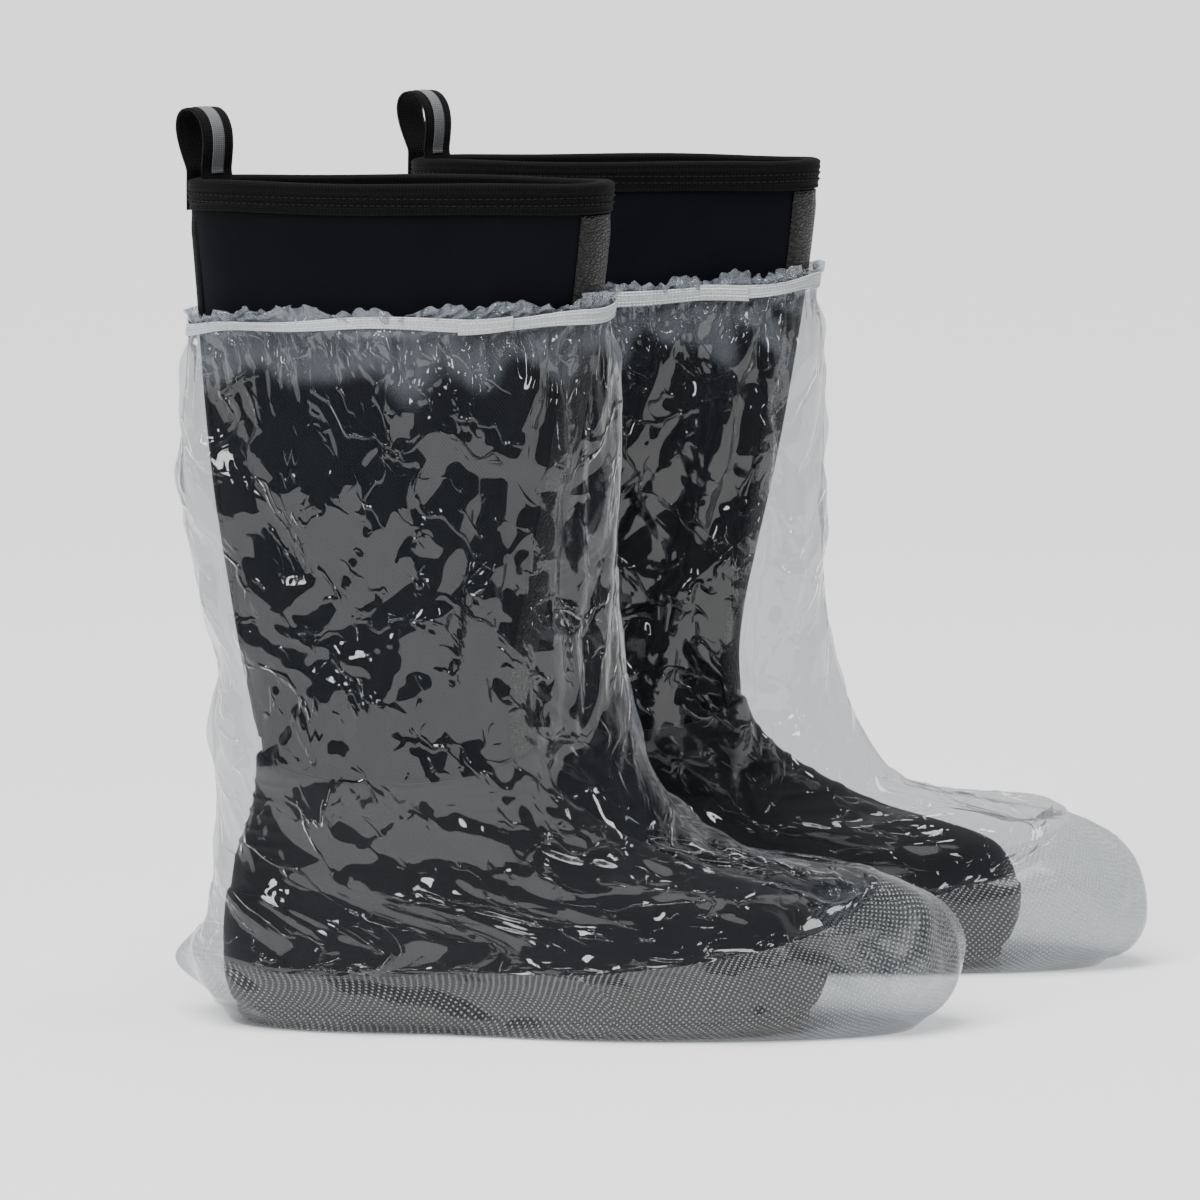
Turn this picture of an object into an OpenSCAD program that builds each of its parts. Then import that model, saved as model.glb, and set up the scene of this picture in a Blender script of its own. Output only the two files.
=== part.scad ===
// A pair of tall pull-on neoprene boots, each standing in a clear disposable boot cover.
// Every module draws one piece in its own boot's frame: +X to the toe, +Z up, the origin on the
// floor below the ankle, and +Y to the inner side of the right boot. The left side is its mirror.

/* [Boot] */
// Height of the boot's rim above the floor
boot_h = 400; // [370:5:420]
// Length of the foot, heel to toe
foot_l = 290; // [270:2:300]
// Width of the foot at the ball, as a share of the standard last
foot_w = 1.0; // [0.95:0.01:1.05]
// Thickness of the neoprene
neoprene_t = 5; // [4:0.5:6]
// Thickness of the moulded rubber lower
rubber_t = 2.5; // [2:0.1:3]
// Height of the binding tape over the rim
binding_h = 13; // [10:1:16]
// Half width of the shin strip, as an angle round the shaft
shin_half = 27; // [18:1:32]

/* [Pull loop] */
// Width of the webbing
webbing_w = 19; // [15:1:25]
// Thickness of the webbing
webbing_t = 1.4; // [1:0.1:2]
// Height of the loop above the rim
loop_h = 31; // [25:1:45]
// Width of the loop at its widest
loop_w = 15; // [12:1:24]
// How far the loop leans away from the boot
loop_lean = 5.5; // [0:0.5:8]

/* [Cover] */
// Height of the elastic above the floor
elastic_z = 336; // [320:2:345]
// Width of the elastic
elastic_w = 6.5; // [5:0.5:10]
// Film left above the elastic
ruffle_h = 9; // [6:1:12]
// Thickness that stands for the film
film_t = 0.8; // [0.8:0.1:1]
// Width of the welded seam
seam_w = 4; // [3:0.5:5]

/* [Pair] */
// Turn of each boot's toe outwards
toe_out = 2.6; // [0:0.2:4]
// How far the left boot stands ahead of the right one
stagger = 84; // [0:2:100]
// Distance between the two boots' centre lines
spacing = 188; // [170:2:230]

/* [Hidden] */

// Turns of a section's columns, from the toe to the heel, closest where it is bent most. The strips
// and the loop's tabs end on a column, so that every layer has its facets in line.
half_turns = [0, shin_half / 2, shin_half, 45, 65, 90, 115, 137, 152, 163, 174, 180];
last_turn = len(half_turns) - 1;
all_turns = concat(half_turns, [for (k = [last_turn - 1:-1:1]) 360 - half_turns[k]]);
function front_turns(n) = concat([for (k = [n:-1:1]) -half_turns[k]], [for (k = [0:n]) half_turns[k]]);
function back_turns(n) = [for (t = all_turns) if (abs(t - 180) <= 180 - half_turns[last_turn - n]) t];
gap = 0.3;                   // clear space between two skins
sole_gap = 0.4;              // clear space between the cover and the outsole
outsole_z = film_t + sole_gap;
rubber_z = 8;                // where the rubber lower stands on the outsole
board_z = 20;                // where the insole board lies on the midsole
board_t = 1.8;
upper_z = board_z + board_t + 0.2;
lining_t = 1;
trim_t = 1.3;                // strips, bumper and counter
tape_t = 1.2;                // binding tape
pair_x = -80.3 - stagger / 2;  // puts the pair's box over the origin
pair_y = -spacing / 2;

// Upper, seen from the side: height, back, front, half width.
last = [
    [8, -75, 194, 42.5], [22, -79, 200, 44.5], [34, -79.5, 201.5, 45], [44, -79.5, 200, 44.2],
    [52, -79, 196, 43], [58, -78.5, 190, 41.5], [62, -78, 181, 40], [66, -77.5, 168, 38.5],
    [70, -77, 153, 37.2], [74, -76.5, 139, 36.2], [79, -75.5, 126, 35.5], [85, -73.5, 113, 35],
    [93, -70.5, 98, 35], [103, -67.5, 83, 35.3], [115, -66, 71.5, 36], [130, -66, 65, 37],
    [150, -69, 62.5, 39], [175, -74, 64.5, 42], [205, -79, 70.5, 44.5], [250, -86, 80.5, 46.5],
    [300, -91, 89.5, 46.5], [350, -94.5, 97, 44], [400, -98.5, 102.5, 41]];

// Cover, seen from the side: height, back, front, half width.
bag = [
    [0, -80, 246, 50], [15, -91, 263, 56], [30, -98, 268, 58], [45, -95, 266, 57],
    [58, -91, 259, 54], [68, -89.5, 246, 50.5], [76, -88.5, 224, 47.5], [81, -88, 190, 46],
    [86, -88, 158, 45], [94, -88, 142, 44.5], [106, -88, 132, 44.5], [122, -89, 123, 45],
    [142, -90, 115, 46], [165, -87, 109, 48.5], [190, -92, 106, 51.5], [225, -100, 104.5, 54],
    [262, -103, 105.5, 54.5], [295, -102.5, 106.5, 53.5], [318, -100.5, 105, 51],
    [336, -98.5, 101.5, 48.8], [356, -101, 107, 50]];

tall = boot_h / 400;
long = foot_l / 290;

function smooth(a, b, v) = let (s = min(1, max(0, (v - a) / (b - a)))) s * s * (3 - 2 * s);
function bump(v, middle, width) = exp(-pow((v - middle) / width, 2));
function level(profile, z, column) = lookup(z, [for (row = profile) [row[0], row[column]]]);
function power(v, e) = sign(v) * pow(abs(v), e);
function unit(v) = v / norm(v);
function turn_from(t, middle) = let (d = (t - middle) % 360) min(abs(d), 360 - abs(d));

// The toes swing to the inner side of the foot.
function swing(x, z) = 7 * (1 - smooth(45, 115, z)) * pow(max(0, x) / 200, 2);

// One point of a section at height z, at the angle t from the toe: two half superellipses that
// meet at the widest place, narrowed at the waist and swung to the inner side at the toe.
function section(profile, z, t) =
    let (
        low = 1 - smooth(45, 115, z),
        middle = 95 * low,
        back = level(profile, z, 1),
        front = level(profile, z, 2),
        half = level(profile, z, 3) * (1 + (foot_w - 1) * low),
        full = cos(t) > 0 ? 0.92 + 0.13 * bump(z, 72, 16) : 1 - 0.35 * low,
        x = middle + (cos(t) > 0 ? front - middle : middle - back) * power(cos(t), full),
        waist = 1 - 0.16 * (1 - smooth(25, 75, z)) * bump(x, 25, 45),
        grow = 1 + (long - 1) * low)
    [x * grow, half * waist * power(sin(t), full) + swing(x, z), z];

// The section's point moved outwards, level near the sole and near the rim.
function skin(profile, z, t, off) =
    let (
        here = section(profile, z, t),
        along = section(profile, z, t + 2) - section(profile, z, t - 2),
        up = section(profile, z + 2, t) - section(profile, z - 2, t),
        out = unit(cross(along, up)),
        tilt = smooth(24, 50, z) * (1 - smooth(320, 340, z)),
        n = unit([out[0], out[1], out[2] * tilt]),
        p = here + off * n)
    [p[0], p[1], z <= 120 ? p[2] : 120 + (p[2] - 120) * (boot_h - 120) / 280];

// Quads between two equal grids of points, and round their edges. Grid rows run upwards.
module shell(outer, inner, closed) {
    rows = len(outer);
    cols = len(outer[0]);
    last_col = closed ? cols : cols - 1;
    n = rows * cols;
    function o(i, j) = i * cols + j % cols;
    function k(i, j) = n + o(i, j);
    polyhedron(
        points = concat([for (row = outer, p = row) p], [for (row = inner, p = row) p]),
        faces = concat(
            [for (i = [0:rows - 2], j = [0:last_col - 1])
                each [[o(i, j), o(i + 1, j), o(i + 1, j + 1)], [o(i, j), o(i + 1, j + 1), o(i, j + 1)]]],
            [for (i = [0:rows - 2], j = [0:last_col - 1])
                each [[k(i, j), k(i + 1, j + 1), k(i + 1, j)], [k(i, j), k(i, j + 1), k(i + 1, j + 1)]]],
            [for (j = [0:last_col - 1])
                each [[o(0, j), o(0, j + 1), k(0, j + 1)], [o(0, j), k(0, j + 1), k(0, j)]]],
            [for (j = [0:last_col - 1])
                each [[o(rows - 1, j), k(rows - 1, j), k(rows - 1, j + 1)],
                      [o(rows - 1, j), k(rows - 1, j + 1), o(rows - 1, j + 1)]]],
            closed ? [] : [for (i = [0:rows - 2])
                each [[o(i, 0), k(i, 0), k(i + 1, 0)], [o(i, 0), k(i + 1, 0), o(i + 1, 0)]]],
            closed ? [] : [for (i = [0:rows - 2])
                each [[o(i, cols - 1), o(i + 1, cols - 1), k(i + 1, cols - 1)],
                      [o(i, cols - 1), k(i + 1, cols - 1), k(i, cols - 1)]]]));
}

// Heights that climb from one edge curve to another through the profile's own levels.
function climb(profile, low, high) =
    [for (z = concat([low], [for (row = profile) if (row[0] > low + 1 && row[0] < high - 1) row[0]], [high])) z];

// A skin of even thickness over the given turns, between two level edges.
module skin_band(low, high, out, thick, list, closed) {
    levels = climb(last, low, high);
    shell([for (z = levels) [for (t = list) skin(last, z, t, out)]],
          [for (z = levels) [for (t = list) skin(last, z, t, out - thick)]], closed);
}

// The plan of the foot at height z, grown by off.
module plan(z, off) polygon([for (t = all_turns) let (p = skin(last, z, t, off)) [p[0], p[1]]]);

module outsole() color("#1b1b1c") difference() {
    translate([0, 0, outsole_z]) linear_extrude(rubber_z - outsole_z) plan(8, rubber_t);
    for (x = [60:16:188]) translate([x, 0, outsole_z - 1]) rotate([0, 0, 8])
        translate([-2, -70, 0]) cube([4, 140, 4.5]);
    for (x = [-66:14:-24]) translate([x - 2, -70, outsole_z - 1]) cube([4, 140, 4.5]);
    translate([-8, -70, outsole_z - 1]) cube([54, 140, 3]);
}

module shank_bar(grow) translate([-45 - grow, -9 - grow, 12 - grow])
    cube([100 + 2 * grow, 18 + 2 * grow, 1.2 + 2 * grow]);

module midsole() color("#3a3b3d") difference() {
    translate([0, 0, rubber_z + 0.1]) linear_extrude(board_z - rubber_z - 0.2) plan(rubber_z, 0);
    shank_bar(0.1);
}

module shank() color("silver") shank_bar(0);

module insole_board() color("#8c7a5e") translate([0, 0, board_z]) linear_extrude(board_t) plan(14, -0.5);

footbed_t = 5;
module footbed() color("#4b4d52") translate([0, 0, upper_z]) linear_extrude(footbed_t)
    plan(24, -neoprene_t - lining_t - 3);

// The rubber lower climbs higher over the instep and the heel than at its sides.
function lower_top(t) = 118 + 14 * bump(turn_from(t, 0), 0, 50) + 10 * bump(turn_from(t, 180), 0, 45);
lower_levels = climb(last, rubber_z + 0.1, 118);
function lower_reach(z, t) = z < 100 ? z : 100 + (z - 100) * (lower_top(t) - 100) / 18;
module rubber_lower() color("#232325")
    shell([for (z = lower_levels) [for (t = all_turns) skin(last, lower_reach(z, t), t, gap + rubber_t)]],
          [for (z = lower_levels) [for (t = all_turns) skin(last, lower_reach(z, t), t, gap)]], true);

trim_out = 2 * gap + rubber_t + trim_t;
module toe_bumper() color("#1d1d1f") skin_band(10, 40, trim_out, trim_t, front_turns(4), false);
module heel_counter() color("#1d1d1f") skin_band(10, 62, trim_out, trim_t, back_turns(4), false);

ankle_z = 118;                // where the shaft is sewn to the foot of the bootie
module neoprene_foot() color("#10131a") skin_band(upper_z, ankle_z, 0, neoprene_t, all_turns, true);
module neoprene_shaft() color("#10131a") skin_band(ankle_z, boot_h, 0, neoprene_t, all_turns, true);
module lining() color("#2c3038")
    skin_band(upper_z, boot_h, -neoprene_t - gap, lining_t, all_turns, true);

strip_low = 136;
strip_high = boot_h - binding_h - 1;
module shin_strip() color("#3f413f")
    skin_band(strip_low, strip_high, gap + trim_t, trim_t, front_turns(2), false);
module back_strip() color("#1a1d24")
    skin_band(strip_low, strip_high, gap + trim_t, trim_t, back_turns(2), false);

// Tape folded over the rim: an outer fall, a flat top and an inner fall, all of one thickness.
binding_in = -neoprene_t - 2 * gap - lining_t;
module top_binding() color("#121213") {
    low = boot_h - binding_h;
    fold = [[low, gap + tape_t], [boot_h + gap + tape_t, gap + tape_t],
            [boot_h + gap + tape_t, binding_in - tape_t], [low, binding_in - tape_t]];
    bend = [[low, gap], [boot_h + gap, gap], [boot_h + gap, binding_in], [low, binding_in]];
    shell([for (q = fold) [for (t = all_turns) skin(last, q[0], t, q[1])]],
          [for (q = bend) [for (t = all_turns) skin(last, q[0], t, q[1])]], true);
}

// The loop stands across the rim, beside the middle of the back. side is 1 on the right boot and
// -1 on the left one, because both loops lie to the same hand.
function loop_t(side) = 180 - side * 17;
tab_low = boot_h - binding_h - 1;
module loop_tab(side) color("#141415") {
    list = [for (k = [-1:1]) loop_t(side) + 11 * k];
    skin_band(tab_low, boot_h + gap + tape_t, 2 * gap + tape_t + webbing_t, webbing_t, list, false);
    skin_band(tab_low, boot_h + gap + tape_t, binding_in - tape_t - gap, webbing_t, list, false);
}

// Path of the loop from the foot of its front strand, over the top, to the foot of its back strand.
// s runs from 0 to 360; the first number is towards the boot's front, the second is the height.
loop_foot = 4.6;
loop_gap = 1;
function tear(s) = [loop_w * 0.62 * sin(s) * pow(sin(s / 2), 1.5) + loop_foot * cos(s / 2)
                        - loop_lean * (1 - cos(s)) / 2, loop_h / 2 * (1 - cos(s))];
function tear_side(s, off) = let (d = unit(tear(s + 1) - tear(s - 1))) tear(s) + off * [-d[1], d[0]];
function loop_place(side) = skin(last, boot_h, loop_t(side), (gap + tape_t + binding_in - tape_t) / 2);
function loop_yaw(side) = let (
        d = skin(last, boot_h, loop_t(side), -1) - skin(last, boot_h, loop_t(side), 1)) atan2(d[1], d[0]);
module tear_band(side, from, to, out, thick, width) {
    spans = [for (s = [from:10:to]) s];
    translate(loop_place(side) + [0, 0, gap + tape_t + loop_gap]) rotate([0, 0, loop_yaw(side)])
        translate([0, width / 2, 0]) rotate([90, 0, 0]) linear_extrude(width)
            polygon(concat([for (s = spans) tear_side(s, out)],
                [for (k = [len(spans) - 1:-1:0]) tear_side(spans[k], out - thick)]));
}
module pull_loop(side) color("#151516") tear_band(side, 10, 350, webbing_t / 2, webbing_t, webbing_w);
stripe_t = 0.25;
module reflective_stripe(side) color("#9a9c9e")
    tear_band(side, 20, 330, -webbing_t / 2 - 0.1, stripe_t, webbing_w * 0.4);

// A side panel of the cover. Its edges run out to the seams as fins, against the other panel's.
function film(z, t, off, side) = let (
        at = min(180, max(0, t)),
        p = skin(bag, z, side * at, off),
        mid = swing(p[0], z),
        fin = t == at ? 0 : seam_w * sign(90 - t),
        least = off < 0 ? 0.05 : film_t)
    [p[0] + fin, mid + side * max(side * (p[1] - mid), least), p[2]];

function elastic_rise(t) = elastic_z + 4 * cos(t);
function sole_top(t) = 32 + 43 * bump(turn_from(t, 0), 0, 38) + 18 * bump(turn_from(t, 180), 0, 30);
panel_turns = concat([-1], half_turns, [181]);
panel_levels = [for (row = bag) if (row[0] > 20) row[0]];
low_end = 100;
high_start = 300;
function panel_reach(z, t) =
    z <= low_end
        ? let (low = sole_top(t) + 0.3) low + (z - panel_levels[0]) * (low_end - low) / (low_end - panel_levels[0])
        : z <= high_start ? z
        : high_start + (z - high_start) * (elastic_rise(t) + ruffle_h - high_start) / (356 - high_start);
module cover_panel(side) {
    outer = [for (z = panel_levels) [for (t = panel_turns) film(panel_reach(z, t), t, 0, side)]];
    inner = [for (z = panel_levels) [for (t = panel_turns) film(panel_reach(z, t), t, -film_t, side)]];
    color("#dfe3e6", 0.35) if (side > 0) shell(outer, inner, false); else shell(inner, outer, false);
}
module cover_outer_panel() cover_panel(-1);
module cover_inner_panel() cover_panel(1);

function sole_wall(s, t, off) = skin(bag, film_t / 2 + s * (sole_top(t) - film_t / 2), t, off);
sole_rows = [0, 0.2, 0.4, 0.6, 0.8, 1];
module cover_sole() color("#c4c8ca", 0.6) {
    linear_extrude(film_t) polygon([for (t = all_turns) let (p = skin(bag, 2, t, 0)) [p[0], p[1]]]);
    shell([for (s = sole_rows) [for (t = all_turns) sole_wall(s, t, 0)]],
          [for (s = sole_rows) [for (t = all_turns) sole_wall(s, t, -film_t)]], true);
}

elastic_in = gap + trim_t + 0.35;
elastic_t = 0.9;
function elastic_ring(z, off) = [for (t = all_turns) skin(last, elastic_rise(t) + z, t, off)];
module cover_elastic() color("#f1f2f2")
    shell([for (z = [-elastic_w / 2, elastic_w / 2]) elastic_ring(z, elastic_in + elastic_t)],
          [for (z = [-elastic_w / 2, elastic_w / 2]) elastic_ring(z, elastic_in)], true);

module right() translate([pair_x, pair_y, 0]) rotate([0, 0, -toe_out]) children();
module left() translate([pair_x + stagger, pair_y + spacing, 0]) rotate([0, 0, toe_out])
    mirror([0, 1, 0]) children();

right() outsole();  // right_outsole
right() midsole();  // right_midsole
right() shank();  // right_shank
right() insole_board();  // right_insole_board
right() footbed();  // right_footbed
right() rubber_lower();  // right_rubber_lower
right() toe_bumper();  // right_toe_bumper
right() heel_counter();  // right_heel_counter
right() neoprene_foot();  // right_neoprene_foot
right() neoprene_shaft();  // right_neoprene_shaft
right() lining();  // right_lining
right() shin_strip();  // right_shin_strip
right() back_strip();  // right_back_strip
right() top_binding();  // right_top_binding
right() loop_tab(1);  // right_loop_tab
right() pull_loop(1);  // right_pull_loop
right() reflective_stripe(1);  // right_reflective_stripe
right() cover_outer_panel();  // right_cover_outer_panel
right() cover_inner_panel();  // right_cover_inner_panel
right() cover_sole();  // right_cover_sole
right() cover_elastic();  // right_cover_elastic
left() outsole();  // left_outsole
left() midsole();  // left_midsole
left() shank();  // left_shank
left() insole_board();  // left_insole_board
left() footbed();  // left_footbed
left() rubber_lower();  // left_rubber_lower
left() toe_bumper();  // left_toe_bumper
left() heel_counter();  // left_heel_counter
left() neoprene_foot();  // left_neoprene_foot
left() neoprene_shaft();  // left_neoprene_shaft
left() lining();  // left_lining
left() shin_strip();  // left_shin_strip
left() back_strip();  // left_back_strip
left() top_binding();  // left_top_binding
left() loop_tab(-1);  // left_loop_tab
left() pull_loop(-1);  // left_pull_loop
left() reflective_stripe(-1);  // left_reflective_stripe
left() cover_outer_panel();  // left_cover_outer_panel
left() cover_inner_panel();  // left_cover_inner_panel
left() cover_sole();  // left_cover_sole
left() cover_elastic();  // left_cover_elastic
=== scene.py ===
"""A pair of tall neoprene boots, each standing in a clear disposable boot cover.

Every boot is worked out in its own frame, in millimetres: +X to the toe, +Z up, the origin on the floor
below the ankle and +Y to the inner side of the right boot. place() puts a side where the CAD has it.
"""
import math

import bmesh
import bpy
import numpy as np
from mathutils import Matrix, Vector


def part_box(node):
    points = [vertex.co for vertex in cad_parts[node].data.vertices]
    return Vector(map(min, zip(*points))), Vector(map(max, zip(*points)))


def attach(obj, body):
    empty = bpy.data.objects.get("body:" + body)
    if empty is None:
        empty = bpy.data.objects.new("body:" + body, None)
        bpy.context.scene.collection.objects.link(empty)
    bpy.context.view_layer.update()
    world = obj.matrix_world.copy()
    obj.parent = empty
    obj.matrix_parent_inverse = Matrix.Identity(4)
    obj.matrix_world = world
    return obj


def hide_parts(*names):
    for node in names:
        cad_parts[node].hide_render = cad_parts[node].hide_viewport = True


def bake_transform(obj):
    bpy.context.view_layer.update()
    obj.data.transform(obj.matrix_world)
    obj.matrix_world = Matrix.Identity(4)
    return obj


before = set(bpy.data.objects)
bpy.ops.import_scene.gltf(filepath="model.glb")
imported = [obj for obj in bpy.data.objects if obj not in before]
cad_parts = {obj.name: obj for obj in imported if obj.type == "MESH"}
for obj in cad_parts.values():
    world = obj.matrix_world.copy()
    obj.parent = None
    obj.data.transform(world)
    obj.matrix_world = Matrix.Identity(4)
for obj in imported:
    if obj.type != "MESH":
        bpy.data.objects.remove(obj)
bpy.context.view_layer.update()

MM = 0.001
RIM = 400.0  # height of the boot's rim
BINDING = 13.0  # fall of the binding tape below the rim
SOLE_TOP = 8.0  # height of the outsole's upper face
SHANK_AHEAD = 5.0  # from the ankle to the shank's own middle
UP = np.array([0.0, 0.0, 1.0])
TOE_OUT = {"right": math.radians(-2.6), "left": math.radians(2.6)}
SIDES = ("right", "left")

# ---------------------------------------------------------------- shape of the boot and of its cover

# The boot seen from the side: height, back, front, half width.
LAST = np.array([
    [8, -75, 194, 42.5], [22, -79, 200, 44.5], [34, -79.5, 201.5, 45], [44, -79.5, 200, 44.2],
    [52, -79, 196, 43], [58, -78.5, 190, 41.5], [62, -78, 181, 40], [66, -77.5, 168, 38.5],
    [70, -77, 153, 37.2], [74, -76.5, 139, 36.2], [79, -75.5, 126, 35.5], [85, -73.5, 113, 35],
    [93, -70.5, 98, 35], [103, -67.5, 83, 35.3], [115, -66, 71.5, 36], [130, -66, 65, 37],
    [150, -69, 62.5, 39], [175, -74, 64.5, 42], [205, -79, 70.5, 44.5], [250, -86, 80.5, 46.5],
    [300, -91, 89.5, 46.5], [350, -94.5, 97, 44], [400, -98.5, 102.5, 41]])

# The cover seen from the side, the same way.
BAG = np.array([
    [0, -80, 246, 50], [15, -91, 263, 56], [30, -98, 268, 58], [45, -95, 266, 57],
    [58, -91, 259, 54], [68, -89.5, 246, 50.5], [76, -88.5, 224, 47.5], [81, -88, 190, 46],
    [86, -88, 158, 45], [94, -88, 142, 44.5], [106, -88, 132, 44.5], [122, -89, 123, 45],
    [142, -90, 115, 46], [165, -87, 109, 48.5], [190, -92, 106, 51.5], [225, -100, 104.5, 54],
    [262, -103, 105.5, 54.5], [295, -102.5, 106.5, 53.5], [318, -100.5, 105, 51],
    [336, -98.5, 101.5, 48.8], [356, -101, 107, 50]])


def smooth(a, b, v):
    """Rises from 0 at a to 1 at b, with no slope at either end."""
    s = np.clip((v - a) / (b - a), 0, 1)
    return s * s * (3 - 2 * s)


def bump(v, middle, width):
    """A bell of height 1 at middle."""
    return np.exp(-((v - middle) / width) ** 2)


def unit(v):
    """Vectors made one long."""
    return v / np.maximum(np.linalg.norm(v, axis=-1, keepdims=True), 1e-9)


def levelled(v):
    """Vectors laid level and made one long."""
    return unit(v * (1 - UP))


def run_along(points):
    """The way walked along a row of points, up to each of them."""
    return np.concatenate([[0], np.cumsum(np.linalg.norm(np.diff(points, axis=0), axis=1))])


def resampled(at, run, points):
    """The points at given lengths along a path, whose own points lie at run."""
    return np.stack([np.interp(at, run, line) for line in points.T], -1)


def fade(count, steps):
    """1 along a row of points, falling evenly to 0 over so many steps at either end."""
    k = np.arange(count)
    return np.minimum(1, np.minimum(k, count - 1 - k) / steps)


def from_toe(t):
    """How far a turn is from the toe, whichever way round."""
    return np.abs((t + np.pi) % (2 * np.pi) - np.pi)


def column(profile, z, which):
    """A cubic Hermite curve through one column of a profile. Its slope at a row is the mean of the two
    chords beside it, each weighted by the other's width."""
    h, v = profile[:, 0], profile[:, which]
    slope = np.gradient(v, h)
    z = np.clip(z, h[0], h[-1])
    k = np.clip(np.searchsorted(h, z) - 1, 0, len(h) - 2)
    step = h[k + 1] - h[k]
    s = (z - h[k]) / step
    return ((2 * s**3 - 3 * s**2 + 1) * v[k] + (s**3 - 2 * s**2 + s) * step * slope[k]
            + (3 * s**2 - 2 * s**3) * v[k + 1] + (s**3 - s**2) * step * slope[k + 1])


def power(v, e):
    """A power of the size, with the sign kept."""
    return np.sign(v) * np.abs(v) ** e


def foot_share(z):
    """1 at the foot, 0 in the shaft."""
    return 1 - smooth(45, 115, z)


def swing(x, z):
    """The toes swing to the inner side, as the square of the way to the toe, up to 7 mm."""
    return 7 * foot_share(z) * (np.maximum(0, x) / 200) ** 2


def section(profile, z, t):
    """A point at height z and turn t (radians, 0 at the toe) of two half superellipses that meet at the
    foot's middle, narrowed at the waist."""
    low = foot_share(z)
    middle = 95 * low
    back, front, half = (column(profile, z, k) for k in (1, 2, 3))
    ahead = np.cos(t) > 0
    full = np.where(ahead, 0.92 + 0.13 * bump(z, 72, 16), 1 - 0.35 * low)
    x = middle + np.where(ahead, front - middle, middle - back) * power(np.cos(t), full)
    waist = 1 - 0.16 * (1 - smooth(25, 75, z)) * bump(x, 25, 45)
    return np.stack(np.broadcast_arrays(x, half * waist * power(np.sin(t), full) + swing(x, z), z), -1)


def skin(profile, z, t, off):
    """The section's point moved out by off along the surface's normal, which is kept level near the
    floor and the rim."""
    z, t, off = np.broadcast_arrays(np.asarray(z, float), np.asarray(t, float), np.asarray(off, float))
    turn_step, height_step = 0.035, 2
    along = section(profile, z, t + turn_step) - section(profile, z, t - turn_step)
    up = section(profile, z + height_step, t) - section(profile, z - height_step, t)
    n = unit(np.cross(along, up))
    n[..., 2] *= smooth(24, 50, z) * (1 - smooth(320, 340, z))
    return section(profile, z, t) + off[..., None] * unit(n)


def noise(points, seed, size, waves=14):
    """Smooth noise of about unit height: sines of random directions, of lengths near size."""
    rng = np.random.default_rng(seed)
    way = rng.normal(size=(waves, points.shape[-1]))
    way *= (2 * np.pi / size * rng.uniform(0.6, 1.5, waves) / np.linalg.norm(way, axis=1))[:, None]
    start = rng.uniform(0, 2 * np.pi, waves)
    return np.sin(points @ way.T + start).sum(-1) / math.sqrt(waves / 2) / 1.6


# ---------------------------------------------------------------- from arrays to pieces

def place(side, points):
    """From a boot's own frame to the row's, in metres: the left side is mirrored, then both are turned
    and moved to the shank."""
    shank_low, shank_high = (np.array(v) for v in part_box(f"{side}_shank"))
    middle = (shank_low + shank_high) / 2
    c, s = math.cos(TOE_OUT[side]), math.sin(TOE_OUT[side])
    p = np.array(points, float)
    if side == "left":
        p[..., 1] *= -1
    x, y = p[..., 0] - SHANK_AHEAD, p[..., 1]
    return np.stack([middle[0] + MM * (c * x - s * y), middle[1] + MM * (s * x + c * y), MM * p[..., 2]], -1)


def grid_faces(rows, cols, wrap=False, flip=False):
    """Quads over a grid of rows by cols points, joined end to end if it wraps."""
    i, j = np.meshgrid(np.arange(rows - 1), np.arange(cols if wrap else cols - 1), indexing="ij")
    a, b = i * cols + j, i * cols + (j + 1) % cols
    quads = np.stack([a, b, b + cols, a + cols], -1).reshape(-1, 4)
    return quads[:, ::-1] if flip else quads


def piece(name, points, faces, uv=None, closed=True, merge=0.0):
    """A mesh piece from points in metres and quads, with its uv in millimetres, smooth shaded."""
    mesh = bpy.data.meshes.new(name)
    mesh.from_pydata(points.reshape(-1, 3).tolist(), [], np.asarray(faces).tolist())
    if uv is not None:
        layer = mesh.uv_layers.new(name="flat")
        at = np.zeros(len(mesh.loops), int)
        mesh.loops.foreach_get("vertex_index", at)
        layer.data.foreach_set("uv", uv.reshape(-1, 2)[at].ravel().astype(np.float32))
    if merge or closed:
        bm = bmesh.new()
        bm.from_mesh(mesh)
        if merge:
            bmesh.ops.remove_doubles(bm, verts=bm.verts, dist=merge)
        if closed:
            bmesh.ops.recalc_face_normals(bm, faces=bm.faces)
        bm.to_mesh(mesh)
        bm.free()
    mesh.shade_smooth()
    obj = bpy.data.objects.new(name, mesh)
    bpy.context.scene.collection.objects.link(obj)
    return obj


def shell_faces(rows, cols, wrap):
    """Quads of a closed skin between two grids of rows by cols points, the outer grid's points first."""
    n = rows * cols
    q = grid_faces(rows, cols, wrap)
    j = np.arange(cols if wrap else cols - 1)
    after = (j + 1) % cols
    top = n - cols
    rims = [np.stack([after, j, n + j, n + after], -1),
            np.stack([top + j, top + after, n + top + after, n + top + j], -1)]
    if not wrap:
        i = np.arange(rows - 1) * cols
        e = i + cols - 1
        rims += [np.stack([i, i + cols, n + i + cols, n + i], -1),
                 np.stack([e + cols, e, n + e, n + e + cols], -1)]
    return np.concatenate([q, q[:, ::-1] + n, *rims])


def shell_piece(side, name, outer, inner, wrap, uv):
    """A closed piece between two equal grids of points, whose rows run upwards."""
    points = place(side, np.stack([outer, inner]))
    return piece(f"{side}_{name}", points, shell_faces(*outer.shape[:2], wrap), np.stack([uv, uv]))


def put_together(name, parts):
    """Joins lists of (points, faces) into one piece, in metres."""
    points, faces, start = [], [], 0
    for p, f in parts:
        points.append(p.reshape(-1, 3))
        faces.append(np.asarray(f) + start)
        start += len(points[-1])
    return piece(name, np.concatenate(points), np.concatenate(faces))


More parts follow.
